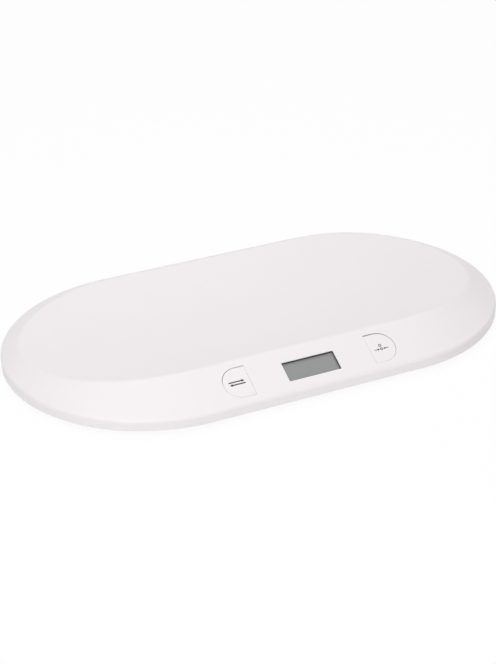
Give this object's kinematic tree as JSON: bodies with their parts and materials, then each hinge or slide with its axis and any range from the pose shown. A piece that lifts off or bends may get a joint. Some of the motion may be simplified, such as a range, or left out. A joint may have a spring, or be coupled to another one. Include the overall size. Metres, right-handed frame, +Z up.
{
  "type": "baby weighing scale",
  "caption": "Low oval baby weighing scale with a dished tray, a display window and two D-shaped push buttons in its front bevel, standing on load-cell feet.",
  "frame": {"origin": "on the floor under the middle of the tray", "axes": "+X along the tray's length, to the right seen from the display side; +Y from the display side to the back; +Z up"},
  "size_m": [0.55, 0.317, 0.0403],
  "materials": {
    "shell": "smooth glossy moulding",
    "key": "smooth glossy moulding",
    "base": "fine moulded texture",
    "foot": "fine moulded texture",
    "rubber": "matt",
    "foam": "matt foam",
    "display": "polarised display glass, blank",
    "holder": "plain moulding",
    "board": "solder mask",
    "resin": "cured resin",
    "chip": "moulded package",
    "battery": "printed sleeve, plain",
    "plated": "nickel plate",
    "steel": "stamped",
    "screw": "zinc plate",
    "wire": "insulated lead"
  },
  "bodies": {
    "scale_body": {"base_cover": "base", "battery_1": "battery", "battery_2": "battery", "battery_3": "battery", "battery_lead_minus": "wire", "battery_lead_plus": "wire", "battery_plates": "plated", "battery_springs": "plated", "cell_lead_back_left": "wire", "cell_lead_back_right": "wire", "cell_lead_front_left": "wire", "cell_lead_front_right": "wire", "chip_seal": "resin", "converter_chip": "chip", "cover_screws": "screw", "display_board": "board", "display_board_screws": "screw", "display_gasket": "foam", "foot_back_left": "foot", "foot_back_right": "foot", "foot_front_left": "foot", "foot_front_right": "foot", "foot_pad_back_left": "rubber", "foot_pad_back_right": "rubber", "foot_pad_front_left": "rubber", "foot_pad_front_right": "rubber", "gauge_seal_back_left": "resin", "gauge_seal_back_right": "resin", "gauge_seal_front_left": "resin", "gauge_seal_front_right": "resin", "lcd_connector": "foam", "lcd_frame": "holder", "lcd_panel": "display", "left_switch_board": "board", "left_switch_lead": "wire", "load_cell_back_left": "steel", "load_cell_back_right": "steel", "load_cell_front_left": "steel", "load_cell_front_right": "steel", "power_switch": "chip", "right_switch_board": "board", "right_switch_lead": "wire", "switch_board_screws": "screw", "top_cover": "shell", "unit_switch": "chip"},
    "unit_key": {"unit_button": "key", "unit_switch_plunger": "chip"},
    "power_key": {"power_button": "key", "power_switch_plunger": "chip"},
    "battery_lid": {"battery_door": "base"}
  },
  "joints": [
    {"name": "unit_key_press", "type": "slide", "parent": "scale_body", "child": "unit_key", "axis": [0, 0.454, -0.891], "range_m": [0, 0.0005], "stiffness_N_per_m": 3000},
    {"name": "power_key_press", "type": "slide", "parent": "scale_body", "child": "power_key", "axis": [0, 0.454, -0.891], "range_m": [0, 0.0005], "stiffness_N_per_m": 3000},
    {"name": "battery_lid_hinge", "type": "hinge", "parent": "scale_body", "child": "battery_lid", "pos_m": [-0.0299, -0.052, 0.006], "axis": [0, 1, 0], "range_deg": [0, 80]}
  ]
}
